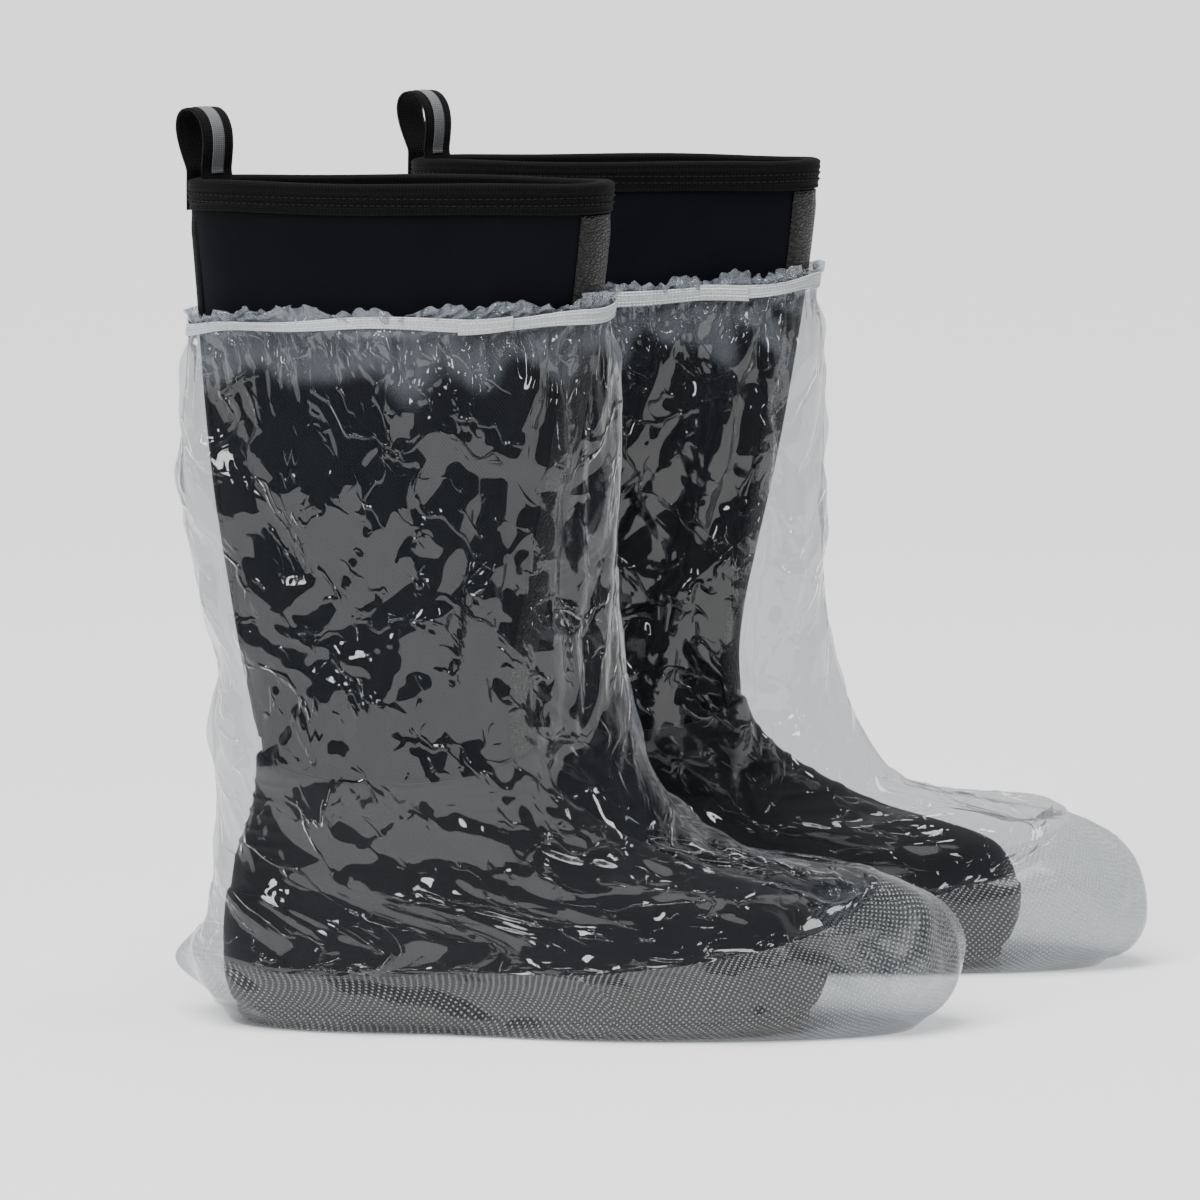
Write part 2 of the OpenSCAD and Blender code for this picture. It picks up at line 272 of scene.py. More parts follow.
def flat_uv(grid):
    """Millimetres along the rows and up the columns of a grid, from its own lengths."""
    across = np.zeros(grid.shape[:2])
    across[:, 1:] = np.cumsum(np.linalg.norm(np.diff(grid, axis=1), axis=-1), 1)
    up = np.zeros(grid.shape[:2])
    up[1:] = np.cumsum(np.linalg.norm(np.diff(grid, axis=0), axis=-1), 0)
    return np.stack([across - across[:, -1:] / 2, up], -1)


# ---------------------------------------------------------------- materials

def linear(code):
    """An sRGB hex colour as linear numbers."""
    v = np.array([int(code[k:k + 2], 16) / 255 for k in (1, 3, 5)])
    return (*np.where(v <= 0.04045, v / 12.92, ((v + 0.055) / 1.055) ** 2.4), 1.0)


def add_node(tree, kind, feeds=(), **settings):
    """Adds a node of a kind, with its settings and what feeds its sockets: a value, or another node's
    output."""
    made = tree.nodes.new("ShaderNode" + kind)
    for key, value in settings.items():
        setattr(made, key, value)
    for key, value in dict(feeds).items():
        if isinstance(value, bpy.types.NodeSocket):
            tree.links.new(value, made.inputs[key])
        else:
            made.inputs[key].default_value = value
    return made


class Finish:
    """A material on its way: its nodes, and where a point lies in millimetres, flat on the piece and in
    space."""

    def __init__(self, name):
        self.material = bpy.data.materials.new(name)
        self.material.use_nodes = True
        self.tree = self.material.node_tree
        self.tree.nodes.clear()
        self.flat = self.add("UVMap", uv_map="flat").outputs[0]
        metres = self.add("TexCoord").outputs["Object"]
        self.solid = self.add("Mapping", {0: metres, "Scale": (1 / MM, 1 / MM, 1 / MM)}).outputs[0]

    def add(self, kind, feeds=(), **settings):
        return add_node(self.tree, kind, feeds, **settings)

    def done(self, shader):
        self.add("OutputMaterial", {"Surface": shader})
        return self.material

    def opaque(self, colours, share, height, depth, feeds):
        """A solid surface: its colour goes from one hex code to the other with share, and height lifts
        it by depth millimetres."""
        low, high = (linear(code) for code in colours)
        colour = self.add("Mix", {0: share, 6: low, 7: high}, data_type="RGBA").outputs[2]
        relief = self.add("Bump", {"Height": height, "Distance": depth * MM, "Strength": 1.0}).outputs[0]
        feeds = {"Base Color": colour, "Normal": relief, **feeds}
        return self.done(self.add("BsdfPrincipled", feeds).outputs[0])

    def sheer(self, tint, haze, share, relief, roughness, straight_on):
        """Film: a tint to look through with a share of matt haze in it, under a gloss that mirrors the
        same on either face: from straight_on up to 0.9, by the fifth power of one minus the cosine."""
        through = self.add("BsdfTransparent", {"Color": linear(tint)}).outputs[0]
        matt = self.add("BsdfDiffuse", {"Color": linear(haze), **relief}).outputs[0]
        body = self.add("MixShader", {0: share, 1: through, 2: matt}).outputs[0]
        gloss = self.add("BsdfGlossy", {"Color": (1, 1, 1, 1), "Roughness": roughness, **relief}).outputs[0]
        facing = self.add("LayerWeight", {"Blend": 0.5, **relief}).outputs["Facing"]
        fifth = self.add("Math", {0: facing, 1: 5.0}, operation="POWER").outputs[0]
        mirrored = self.add("MapRange", {0: fifth, 3: straight_on, 4: 0.9}).outputs[0]
        return self.done(self.add("MixShader", {0: mirrored, 1: body, 2: gloss}).outputs[0])


BAND = 0.314  # a wave texture's scale for bands one millimetre apart


def woven(name, colours, pitch, ways, roughness, sheen, depth, shine=0.5):
    """Cloth of crossed threads: ribs at a pitch in millimetres one way of the piece's uv, and at 1.6 times that the
    other way, with a fuzz of loose fibres. Its colour is painted darker down between the threads, as shade, and varies
    at random with the fuzz."""
    f = Finish(name)
    ribs, rows = (
        f.add("TexWave", {"Vector": f.flat, "Scale": BAND / (pitch * wider), "Distortion": bent,
                          "Detail": 1.0}, bands_direction=way).outputs["Fac"]
        for way, wider, bent in zip(ways, (1, 1.6), (0.6, 0.8)))
    both = f.add("Math", {0: ribs, 1: rows}, operation="MULTIPLY").outputs[0]
    fuzz = f.add("TexNoise", {"Vector": f.solid, "Scale": 0.9, "Detail": 4.0}).outputs["Fac"]
    # the colour follows the threads' relief: painted shade between them, times the random fuzz of loose fibres
    fuzz_and_painted_shade = f.add("Math", {0: both, 1: fuzz}, operation="MULTIPLY").outputs[0]
    return f.opaque(colours, fuzz_and_painted_shade, both, depth, {
        "Roughness": roughness, "Specular IOR Level": shine, "Sheen Weight": sheen, "Sheen Roughness": 0.4})


def neoprene_jersey():
    """Nylon jersey on neoprene foam: a fine knit that reads as a matt navy black with a faint sheen."""
    f = Finish("neoprene_jersey")
    knit = f.add("TexWave", {"Vector": f.flat, "Scale": BAND / 1.1, "Distortion": 1.2, "Detail": 2.0,
                             "Detail Scale": 1.5}, bands_direction="DIAGONAL").outputs["Fac"]
    cloud = f.add("TexNoise", {"Vector": f.solid, "Scale": 0.035, "Detail": 5.0}).outputs["Fac"]
    return f.opaque(("#07080b", "#0c0e13"), cloud, knit, 0.025, {
        "Roughness": 0.82, "Sheen Weight": 0.02, "Sheen Roughness": 0.45, "Specular IOR Level": 0.07})


def moulded_rubber(name, colours, roughness):
    """Vulcanised rubber: almost black, with a soft uneven gloss and a fine grain from its mould."""
    f = Finish(name)
    grain = f.add("TexNoise", {"Vector": f.solid, "Scale": 1.2, "Detail": 6.0}).outputs["Fac"]
    cloud = f.add("TexNoise", {"Vector": f.solid, "Scale": 0.03, "Detail": 3.0}).outputs["Fac"]
    rough = f.add("MapRange", {0: cloud, 1: 0.3, 2: 0.7, 3: roughness - 0.06, 4: roughness + 0.08}).outputs[0]
    return f.opaque(colours, cloud, grain, 0.06, {"Roughness": rough, "Specular IOR Level": 0.3})


def embossed_tape():
    """Polyurethane tape with a pressed crinkle: dark grey, with bright fine creases that run mostly across it. Its
    colour is painted darker down in the sunk crease lines, as shade."""
    f = Finish("embossed_shin_tape")
    wide = f.add("Mapping", {0: f.flat, "Scale": (0.3, 0.62, 1)}).outputs[0]
    crease = f.add("TexVoronoi", {"Vector": wide, "Scale": 1.0, "Randomness": 1.0},
                   feature="DISTANCE_TO_EDGE").outputs["Distance"]
    lift = f.add("MapRange", {0: crease, 1: 0.0, 2: 0.3, 3: 0.0, 4: 1.0}).outputs[0]
    # colour and height share one mask: the sunk crease lines are painted darker, as shade
    return f.opaque(("#0f0f0e", "#20211f"), lift, lift, 0.7, {"Roughness": 0.5, "Specular IOR Level": 0.3})


def plain_foam(name, colours):
    """Closed-cell foam or board: matt, with a fine mottle."""
    f = Finish(name)
    cells = f.add("TexNoise", {"Vector": f.solid, "Scale": 1.5, "Detail": 5.0}).outputs["Fac"]
    return f.opaque(colours, cells, cells, 0.1, {"Roughness": 0.9})


def spring_steel():
    """Rolled spring steel: grey metal with fine lines along it."""
    f = Finish("rolled_spring_steel")
    metres = f.add("TexCoord").outputs["Object"]
    drawn = f.add("Mapping", {0: metres, "Scale": (20, 900, 900)}).outputs[0]
    lines = f.add("TexNoise", {"Vector": drawn, "Scale": 1.0, "Detail": 3.0}).outputs["Fac"]
    rough = f.add("MapRange", {0: lines, 3: 0.28, 4: 0.45}).outputs[0]
    return f.done(f.add("BsdfPrincipled", {
        "Base Color": linear("#b8babd"), "Metallic": 1.0, "Roughness": rough}).outputs[0])


def clear_film():
    """Blown polyethylene film: it lets most light through, is milkier where it is gathered, and has
    creases of two sizes, each kept to patches. It mirrors 5 % of the light straight on and nearly all of it at a glance."""
    f = Finish("blown_polyethylene_film")
    relief = {}
    for size, wide, depth, cover in ((46, 0.04, 0.8, 0.42), (18, 0.08, 0.35, 0.5)):
        bent = f.add("TexNoise", {"Vector": f.flat, "Scale": 1.4 / size, "Detail": 2.0}).outputs["Color"]
        reach = (size * 0.9, size * 0.9, 0)
        moved = f.add("VectorMath", {0: bent, 1: reach}, operation="MULTIPLY").outputs[0]
        where = f.add("VectorMath", {0: f.flat, 1: moved}, operation="ADD").outputs[0]
        edge = f.add("TexVoronoi", {"Vector": where, "Scale": 1 / size},
                     feature="DISTANCE_TO_EDGE").outputs["Distance"]
        ridge = f.add("MapRange", {0: edge, 1: 0.0, 2: wide, 3: 1.0, 4: 0.0},
                      interpolation_type="SMOOTHSTEP").outputs[0]
        patch = f.add("TexNoise", {"Vector": f.flat, "Scale": 1.1 / size, "Detail": 1.0}).outputs["Fac"]
        kept = f.add("MapRange", {0: patch, 1: cover, 2: cover + 0.12}).outputs[0]
        height = f.add("Math", {0: ridge, 1: kept}, operation="MULTIPLY").outputs[0]
        relief = {"Normal": f.add("Bump", {"Height": height, "Distance": depth * MM, "Strength": 1.0,
                                           **relief}).outputs[0]}
    layers = f.add("Attribute", attribute_name="gathered").outputs["Fac"]
    milky = f.add("MapRange", {0: layers, 3: 0.012, 4: 0.26}).outputs[0]
    return f.sheer("#d3d4d6", "#bfc8d4", milky, relief, 0.045, 0.047)


def sole_film():
    """Heavier embossed polyethylene: milky, with small raised diamonds 2.2 mm apart. The diamonds are painted milkier
    than the film between them, a painted highlight for the light they catch, and they are drawn a little wide so that
    they show."""
    f = Finish("embossed_polyethylene_sheet")
    turned = f.add("Mapping", {0: f.flat, "Rotation": (0, 0, math.radians(45))}).outputs[0]
    one, two = (f.add("TexWave", {"Vector": turned, "Scale": BAND / 2.2}, bands_direction=way).outputs["Fac"]
                for way in "XY")
    dots = f.add("Math", {0: one, 1: two}, operation="MULTIPLY").outputs[0]
    relief = f.add("Bump", {"Height": dots, "Distance": 0.06 * MM, "Strength": 1.0}).outputs[0]
    # painted highlight: the raised diamonds get more of the bright matt haze than the film between them
    share = f.add("MapRange", {0: dots, 1: 0.35, 2: 0.7, 3: 0.03, 4: 0.27}).outputs[0]
    return f.sheer("#c9ccce", "#d0d3d5", share, {"Normal": relief}, 0.22, 0.035)


MATERIALS = {
    "neoprene": neoprene_jersey(),
    "rubber": moulded_rubber("vulcanised_rubber", ("#08080a", "#101012"), 0.5),
    "tread": moulded_rubber("tread_rubber", ("#141415", "#232325"), 0.62),
    "shin": embossed_tape(),
    # Woven seam tape, ribbed stretch tape and polyester webbing: black, each with its own rib.
    "seam": woven("woven_seam_tape", ("#08090b", "#15171b"), 0.9, "XY", 0.75, 0.0, 0.15, 0.12),
    "binding": woven("ribbed_stretch_tape", ("#050505", "#232323"), 1.0, "YX", 0.8, 0.02, 0.3, 0.12),
    "webbing": woven("polyester_webbing", ("#060606", "#262626"), 1.1, "YX", 0.7, 0.02, 0.35, 0.15),
    # Grey yarn with glass beads in it, brushed knit, white rubber-cored elastic and black nylon thread.
    "reflective": woven("reflective_yarn", ("#5e6062", "#a2a4a6"), 0.9, "YX", 0.45, 0.0, 0.2),
    "lining": woven("brushed_lining_knit", ("#17191c", "#2e3137"), 1.4, "XY", 0.95, 0.05, 0.25, 0.08),
    "elastic": woven("knitted_elastic", ("#b4b9bc", "#f8f8f8"), 1.1, "YX", 0.85, 0.0, 0.5, 0.2),
    "thread": woven("bonded_thread", ("#0b0b0b", "#2e2e2e"), 0.5, "XY", 0.6, 0.0, 0.1, 0.3),
    "footbed": plain_foam("knit_faced_foam", ("#33363c", "#474b53")),
    "midsole": plain_foam("eva_foam", ("#2c2d30", "#3d3e42")),
    "board": plain_foam("fibre_board", ("#7d6b4d", "#98855f")),
    "steel": spring_steel(),
    "film": clear_film(),
    "sole_film": sole_film(),
}


def finish_piece(obj, finish, slot, body, *replaced):
    """Gives a piece its material, the body it rides on and the CAD nodes it stands for. Its slot is not used."""
    obj.data.materials.clear()
    obj.data.materials.append(MATERIALS[finish])
    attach(obj, body)
    if replaced:
        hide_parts(*replaced)
    return obj


# ---------------------------------------------------------------- camera, light and floor

CAMERA_TURN = math.radians(5.55)  # from square on to the boots' sides, towards the toes
CAMERA_DROP = math.radians(6.9)
CAMERA_AWAY, CAMERA_ASIDE, CAMERA_UP = 3.243, 0.096, 0.594  # from the right boot's ankle on the floor
SENSOR, LENS = 36.0, 206.4

camera = bpy.data.objects.new("camera", bpy.data.cameras.new("camera"))
camera.data.sensor_width = SENSOR
camera.data.lens = LENS
ankle = place("right", np.zeros(3))
ahead = Vector((-math.sin(CAMERA_TURN), math.cos(CAMERA_TURN), 0))
aside = Vector((math.cos(CAMERA_TURN), math.sin(CAMERA_TURN), 0))
camera.location = Vector(ankle) - ahead * CAMERA_AWAY + aside * CAMERA_ASIDE + Vector((0, 0, CAMERA_UP))
camera.rotation_euler = (math.pi / 2 - CAMERA_DROP, 0, CAMERA_TURN)
bpy.context.scene.collection.objects.link(camera)
bpy.context.scene.camera = camera


def softbox(name, where, towards, width, height, power):
    data = bpy.data.lights.new(name, "AREA")
    data.shape, data.size, data.size_y, data.energy = "RECTANGLE", width, height, power
    obj = bpy.data.objects.new(name, data)
    obj.location = where
    obj.rotation_euler = (Vector(towards) - Vector(where)).to_track_quat("-Z", "Y").to_euler()
    bpy.context.scene.collection.objects.link(obj)


softbox("key", (-1.3, -1.9, 1.7), (0, 0, 0.2), 0.55, 0.7, 22)
softbox("fill", (1.1, -2.3, 1.3), (0, 0, 0.2), 0.25, 0.6, 8)
softbox("top", (0.1, -0.2, 2.1), (0, 0, 0.2), 0.8, 0.5, 15)

sun = bpy.data.objects.new("soft_sun", bpy.data.lights.new("soft_sun", "SUN"))
sun.data.energy, sun.data.angle = 5.4, math.radians(50)
sun.visible_glossy = False  # the film would mirror its wide disc as one white patch
sun.rotation_euler = (math.radians(24), math.radians(-14), 0)
bpy.context.scene.collection.objects.link(sun)

# The room is pale where it is seen and behind the boots, and dim on the camera's side, so that the film
# mirrors the floor and the lamps against darkness.
world = bpy.data.worlds.new("studio")
world.use_nodes = True
room = world.node_tree
room.nodes.clear()
seen = add_node(room, "LightPath").outputs["Is Camera Ray"]
way = add_node(room, "SeparateXYZ", {0: add_node(room, "TexCoord").outputs["Generated"]}).outputs["Y"]
behind = add_node(room, "MapRange", {
    "Value": way, "From Min": -0.1, "From Max": 0.35, "To Min": 0.08, "To Max": 0.7}).outputs[0]
bright = add_node(room, "MapRange", {"Value": seen, "To Min": behind, "To Max": 1.45}).outputs[0]
glow = add_node(room, "Background", {"Color": (1, 1, 1, 1), "Strength": bright}).outputs[0]
add_node(room, "OutputWorld", {"Surface": glow})
bpy.context.scene.world = world


def paper_floor():
    """A pale floor, far wider than what is seen of it."""
    half, near = 25.0, -1.3  # its near end leaves something dark for the film's upright parts to mirror
    corners = np.array([[[x, y, -0.0003] for x in (-half, half)] for y in (near, half)])
    floor = piece("floor", corners, grid_faces(2, 2), closed=False)
    f = Finish("white_paper_roll")
    floor.data.materials.append(f.done(f.add("BsdfPrincipled", {
        "Base Color": linear("#f4f4f4"), "Roughness": 0.9, "Specular IOR Level": 0.1}).outputs[0]))


paper_floor()

# ---------------------------------------------------------------- boots

TURNS = np.linspace(0, 2 * np.pi, 144, endpoint=False)
FOOT_MIDDLE = np.array([60.0, 1.0, 0.0])
# Thicknesses, and the gap kept between one layer and the next.
GAP, RUBBER, TRIM, TAPE, LINING, FOAM = 0.3, 2.5, 1.3, 1.2, 1.0, 5.0


def band(side, name, low, high, out, thick, turns, wrap, rows, shape=None):
    """A skin of even thickness between two heights. Heights may follow the turn, and shape(z, t) lifts
    it outwards."""
    low, high = (np.broadcast_to(v, turns.shape) for v in (low, high))
    s = np.linspace(0, 1, rows)[:, None]
    z = low + s * (high - low)
    t = np.broadcast_to(turns, z.shape)
    lift = 0 if shape is None else shape(z, t, s)
    outer = skin(LAST, z, t, out + lift)
    inner = skin(LAST, z, t, out - thick)
    return shell_piece(side, name, outer, inner, wrap, flat_uv(outer))


def soft(seed, size, height):
    """The slight unevenness of a soft skin."""
    return lambda z, t, s: height * noise(section(LAST, z, t), seed, size)


def lower_top(t):
    """The rubber lower climbs over the instep and the heel."""
    away = np.degrees(from_toe(t))
    return 118 + 14 * bump(away, 0, 50) + 10 * bump(away, 180, 45)


def rubber_shape(z, t, s):
    """A rolled top edge, ribs over the ankle's front and back, and a foxing band low down."""
    round_edge = -1.6 * smooth(0.985, 1.0, s)
    fox = 0.9 * (smooth(9, 12, z) - smooth(26, 28, z))
    ends = smooth(1.15, 0.75, from_toe(t)) + smooth(2.2, 2.6, from_toe(t))
    crest = np.maximum(0, np.sin(2 * np.pi * z / 7.5)) ** 2
    return round_edge + fox + 0.8 * ends * smooth(74, 80, z) * smooth(118, 112, z) * crest


def edge_rounded(z, t, s):
    """Falls to nothing at a patch's edges."""
    across = np.linspace(0, 1, t.shape[1])[None, :]
    inside = smooth(0, 0.04, s) * smooth(1, 0.96, s) * smooth(0, 0.06, across) * smooth(1, 0.94, across)
    return -0.9 * (1 - inside)


def boot(side):
    """All that rides on one boot, and its footbed."""
    body = f"{side}_boot"
    on_foam, on_rubber = GAP + TRIM, 2 * GAP + RUBBER + TRIM
    strip_top = RIM - BINDING - 1
    uneven = soft(3 if side == "right" else 11, 90, 0.5)
    # Name, lowest and highest, offset, thickness, turns in degrees (none: all the way round), rows and
    # shape; then finish, slot and the nodes it stands for.
    bands = (
        ("bootie", 22, RIM, 0, FOAM, None, 120, uneven, "neoprene", "neoprene",
         "neoprene_shaft", "neoprene_foot"),
        ("lining_sock", 22, RIM, -FOAM - GAP, LINING, None, 90, None, "lining", "lining_knit", "lining"),
        ("rubber_shoe", SOLE_TOP + 0.1, lower_top(TURNS), GAP + RUBBER, RUBBER, None, 110, rubber_shape,
         "rubber", "boot_rubber", "rubber_lower"),
        ("toe_bumper_cap", 10, 40, on_rubber, TRIM, (-65, 65, 60), 20, edge_rounded,
         "rubber", "boot_rubber", "toe_bumper"),
        ("heel_patch", 10, 62, on_rubber, TRIM, (137, 223, 60), 30, edge_rounded,
         "rubber", "boot_rubber", "heel_counter"),
        ("shin_tape", 130, strip_top, on_foam, TRIM, (-27, 27, 40), 120, edge_rounded,
         "shin", "shin_tape", "shin_strip"),
        ("back_tape", 136, strip_top, on_foam, TRIM, (163, 197, 30), 120, edge_rounded,
         "seam", "seam_tape", "back_strip"))
    for name, low, high, out, thick, span, rows, shape, finish, slot, *nodes in bands:
        turns = TURNS if span is None else np.radians(np.linspace(*span))
        made = band(side, name, low, high, out, thick, turns, span is None, rows, shape)
        finish_piece(made, finish, slot, body, *(f"{side}_{node}" for node in nodes))
    binding(side, body)
    stitches(side, body)
    pull_loop(side)
    outsole(side, body)
    footbed(side)
    for node, finish in (("midsole", "midsole"), ("shank", "steel"), ("insole_board", "board")):
        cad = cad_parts[f"{side}_{node}"]
        cad.data.materials.clear()
        cad.data.materials.append(MATERIALS[finish])


def binding(side, body):
    """Tape folded over the rim: a profile of offset and height, with a rounded top and three low ribs,
    run round it."""
    inside = FOAM + 2 * GAP + LINING
    turn = np.linspace(0, np.pi, 13)
    top, half, middle = RIM + GAP, (inside + GAP) / 2 + TAPE, (GAP - inside) / 2
    fall = np.linspace(RIM - BINDING, top - 1.5, 26)
    rib = 0.22 * np.cos(2 * np.pi * (fall - RIM) / 3.1)
    off = np.concatenate([GAP + TAPE + rib, middle + half * np.cos(turn), middle - half + np.zeros(12)])
    height = np.concatenate([
        fall, top - 1.0 + (TAPE + 1.0) * np.sin(turn), np.linspace(top - 1.5, RIM - BINDING, 12)])
    centre = np.clip(off, middle - half + TAPE, GAP)
    t = np.broadcast_to(TURNS, (len(off), len(TURNS)))
    sway = 0.35 * np.sin(5 * t + (1 if side == "right" else 2))
    grids = []
    for offset, level in ((off, height), (centre, np.minimum(height, top))):
        grid = skin(LAST, np.minimum(level, RIM)[:, None], t, offset[:, None])
        grid[..., 2] = level[:, None] + sway
        grids.append(grid)
    made = shell_piece(side, "rim_binding", *grids, True, flat_uv(grids[0]))
    finish_piece(made, "binding", "binding_tape", body, f"{side}_top_binding")


def capsule(start, end, radius, bow):
    """A stitch: a bowed rod with five rings of six points, closed at both ends."""
    s = np.array([0, 0.12, 0.5, 0.88, 1])[:, None]
    way = end - start
    side_way = unit(np.cross(way, bow))
    spine = start + s * way + bow * radius * 1.2 * np.sin(np.pi * s)
    width = radius * np.array([0.15, 0.85, 1, 0.85, 0.15])[:, None, None]
    a = np.linspace(0, 2 * np.pi, 6, endpoint=False)[None, :, None]
    return spine[:, None] + width * (np.cos(a) * side_way + np.sin(a) * bow)


def stitches(side, body):
    """Two rows of lockstitch round the binding, with gaps between the stitches."""
    pitch, gap, radius = 3.2, 0.4, 0.28
    ends = [[3, 2, 1, 0], [5, 4, 3, 0], [24, 25, 26, 27], [24, 27, 28, 29]]
    quads = np.concatenate([grid_faces(5, 6, True), ends])
    fine = np.linspace(0, 2 * np.pi, 2000)
    parts = []
    for height in (RIM - 8.6, RIM - 5.4):
        path = skin(LAST, height, fine, GAP + TAPE + 0.15)
        outward = skin(LAST, height, fine, GAP + TAPE + 1.15) - path
        run = run_along(path)
        for at in np.arange(int(run[-1] / pitch)) * pitch:
            start, end = resampled(at + np.array([gap, pitch - gap]), run, path)
            bow = unit(resampled(at + pitch / 2, run, outward))
            parts.append((place(side, capsule(start, end, radius, bow)), quads))
    made = put_together(f"{side}_binding_stitches", parts)
    finish_piece(made, "thread", "binding_tape", body)


# The pull loop, as in the CAD: it straddles the rim beside the middle of the back.
LOOP_ASIDE = math.radians(17)
LOOP_HEIGHT, LOOP_WIDE, LOOP_LEAN, LOOP_FOOT, WEBBING, WEBBING_THICK = 31.0, 15.0, 5.5, 4.6, 19.0, 1.4


def loop_frame(side):
    """Where the loop stands in the row's frame, in metres: its foot's middle, and its unit ways inwards
    and along its width."""
    t = math.pi - LOOP_ASIDE * (1 if side == "right" else -1)
    rim, far, near = (place(side, skin(LAST, RIM, t, off)) for off in (-3.15, -4.0, -2.0))
    inward = levelled(far - near)
    return rim, inward, np.array([-inward[1], inward[0], 0])


def loop_path():
    """Centre line of the webbing, as (inwards, height) from the rim: up the outer tab, round the
    tear-shaped loop and down the inner tab."""
    s = np.radians(np.linspace(24, 336, 90))
    tear = np.stack([LOOP_WIDE * 0.62 * np.sin(s) * np.sin(s / 2) ** 1.5 + LOOP_FOOT * np.cos(s / 2)
                     - LOOP_LEAN * (1 - np.cos(s)) / 2, 2.5 + LOOP_HEIGHT / 2 * (1 - np.cos(s))], -1)
    inner = np.stack([np.full(14, 5.9), np.linspace(-13.5, -0.5, 14)], -1)
    outer = np.stack([np.full(14, -5.6), np.linspace(-0.5, -14.5, 14)], -1)
    raw = np.concatenate([inner, tear, outer])
    for _ in range(6):
        raw[10:-10] = (raw[9:-11] + 2 * raw[10:-10] + raw[11:-9]) / 4
    run = run_along(raw)
    at = np.linspace(0, run[-1], 150)
    return resampled(at, run, raw), at


def strap(side, name, width, low, high, thinning, ends, finish, slot, *nodes):
    """A strap along the loop's path, between two offsets from its centre line and two places along it,
    its edges thinned by a share. It bends from the boot to the loop just over the rim."""
    path, run = loop_path()
    way = unit(np.gradient(path, axis=0))
    left = np.stack([-way[:, 1], way[:, 0]], -1)
    keep = (run >= ends[0]) & (run <= ends[1])
    path, left, run = path[keep], left[keep], run[keep]
    rim, inward, across = loop_frame(side)
    w = np.linspace(-0.5, 0.5, 15)
    grids = []
    for off in (low, high):
        lift = off * (1 - thinning * np.abs(2 * w) ** 8)
        here = path[:, None] + lift[None, :, None] * left[:, None]
        grids.append(rim + MM * (here[..., :1] * inward + here[..., 1:] * UP
                                 + (w * width)[None, :, None] * across))
    uv = np.stack(np.meshgrid(w * width, run), -1)
    made = piece(f"{side}_{name}", np.stack(grids), shell_faces(*uv.shape[:2], False), np.stack([uv, uv]))
    made.data.materials.append(MATERIALS[finish])
    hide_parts(*(f"{side}_{node}" for node in nodes))
    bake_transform(made)


def pull_loop(side):
    """The webbing, and the stripe woven into its outer face."""
    total, half = loop_path()[1][-1], WEBBING_THICK / 2
    strap(side, "loop_strap", WEBBING, -half, half, 0.35, (0, total), "webbing", "webbing",
          "pull_loop", "loop_tab")
    strap(side, "loop_stripe", WEBBING * 0.38, -half - 0.25, -half + 0.1, 0, (16, total - 16),
          "reflective", "reflective_yarn", "reflective_stripe")


def plan_rings(level, rings):
    """The sole's plan at a level of the boot, as rings: each at a height, moved out, and drawn in by a
    share towards the foot's middle."""
    grid = np.stack([FOOT_MIDDLE + (skin(LAST, level, TURNS, out) - FOOT_MIDDLE) * share
                     for _, out, share in rings])
    grid[..., 2] = np.array([height for height, _, _ in rings])[:, None]
    return grid


def outsole(side, body):
    """The tread: the sole's plan with a rounded welt, and lugs under the ball and the heel."""
    low = [(2.6, -1.5, share) for share in (0.02, 0.35, 0.7, 1)]
    welt = [(2.6, 1.2, 1), (4.0, 2.3, 1), (7.2, 2.5, 1), (8.0, 1.8, 1)]
    high = [(8.0, -2, share) for share in (1, 0.7, 0.35, 0.02)]
    grid = plan_rings(SOLE_TOP, low + welt + high)
    parts = [(place(side, grid), grid_faces(len(grid), len(TURNS), True))]
    box = np.array([[x, y, z] for x in (-0.5, 0.5) for y in (-0.5, 0.5) for z in (0, 1)])
    cube = np.array([[0, 1, 3, 2], [4, 6, 7, 5], [0, 4, 5, 1], [2, 3, 7, 6], [0, 2, 6, 4], [1, 5, 7, 3]])
    for first, last, step in ((-66, -18, 12), (52, 180, 14)):
        for x in np.arange(first, last, step):
            half = float(np.interp(x, [-74, -60, -20, 60, 110, 160, 192], [12, 26, 28, 34, 37, 30, 8]))
            for y in np.linspace(-half, half, 5):
                middle = np.array([x, float(swing(x, SOLE_TOP)) + y * 0.82, 1.25])
                lug = box * np.array([step * 0.62, half * 0.38, 1.6]) + middle
                parts.append((place(side, lug), cube))
    finish_piece(put_together(f"{side}_tread_sole", parts), "tread", "tread_rubber", body, f"{side}_outsole")


def footbed(side):
    """A loose insole: the plan inside the bootie, with a rounded edge."""
    heights = (27.0, 27.0, 27.0, 27.0, 26.6, 25.8, 22.6, 22.1, 22.0, 22.0)
    shares = (0.02, 0.35, 0.7, 0.94, 0.985, 1.0, 1.0, 0.985, 0.7, 0.02)
    grid = plan_rings(24.0, [(height, -9.0, share) for height, share in zip(heights, shares)])
    made = piece(f"{side}_insole", place(side, grid), grid_faces(len(grid), len(TURNS), True), grid[..., :2])
    finish_piece(made, "footbed", "footbed_foam", f"{side}_footbed", f"{side}_footbed")


for side in SIDES:
    boot(side)

# ---------------------------------------------------------------- covers

ELASTIC = 336.0
ELASTIC_WIDE = 6.5
RUFFLE = 9.0
HALF_COLUMNS = 60  # of a side panel, from seam to seam
FILM_ROWS = 84
FALL_FRAMES = 46


def elastic_height(t):
    """The elastic sits higher at the front, and wanders a little."""
    return ELASTIC + 4 * np.cos(t) + 1.3 * np.sin(3 * t + 1) + 0.8 * np.sin(7 * t)


def sheet_top(t):
    """The sole sheet's upper edge: lowest beside the waist, up to the heel and further up over the toe."""
    away = np.degrees(from_toe(t))
    return 27 + 48 * bump(away, 0, 62) + 16 * bump(away, 180, 34)


